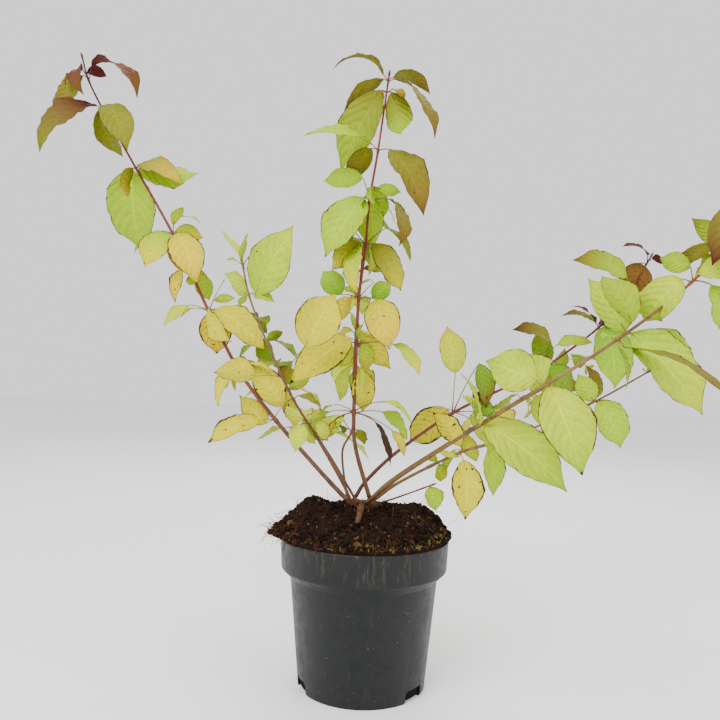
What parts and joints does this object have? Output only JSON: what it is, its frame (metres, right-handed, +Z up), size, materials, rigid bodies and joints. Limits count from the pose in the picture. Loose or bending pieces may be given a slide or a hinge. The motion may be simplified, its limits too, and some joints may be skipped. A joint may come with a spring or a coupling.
{
  "type": "potted shrub",
  "caption": "Potted dogwood shrub in autumn colour: leafy canes fan out of heaped soil in a round plastic nursery pot.",
  "frame": {"origin": "centre of the pot's flat underside", "axes": "+Z up, out of the pot; -Y towards the viewer of the front; +X to that viewer's right"},
  "size_m": [0.811, 0.6113, 0.7426],
  "materials": {
    "pot_plastic": "matte, scuffed",
    "soil": "rough, crumbly",
    "bark": "smooth young bark",
    "old_wood": "rough bark",
    "foliage": "thin matte leaf"
  },
  "bodies": {
    "root": {"pot": "pot_plastic", "soil": "soil", "crown": "old_wood", "cane_left": "bark", "cane_inner_left": "bark", "cane_centre": "bark", "cane_right_upper": "bark", "cane_right_front": "bark", "cane_right_lower": "bark", "cane_low_twig": "bark", "cane_back_left": "bark", "cane_back_centre": "bark", "cane_back_right": "bark", "foliage_left_lower": "foliage", "foliage_left_middle": "foliage", "foliage_left_upper": "foliage", "foliage_inner_left": "foliage", "foliage_centre_lower": "foliage", "foliage_centre_middle": "foliage", "foliage_centre_upper": "foliage", "foliage_right_upper_lower": "foliage", "foliage_right_upper_upper": "foliage", "foliage_right_front_lower": "foliage", "foliage_right_front_upper": "foliage", "foliage_right_lower": "foliage", "foliage_low_twig": "foliage", "foliage_back_left": "foliage", "foliage_back_centre_lower": "foliage", "foliage_back_centre_upper": "foliage", "foliage_back_right_lower": "foliage", "foliage_back_right_upper": "foliage"}
  },
  "joints": []
}
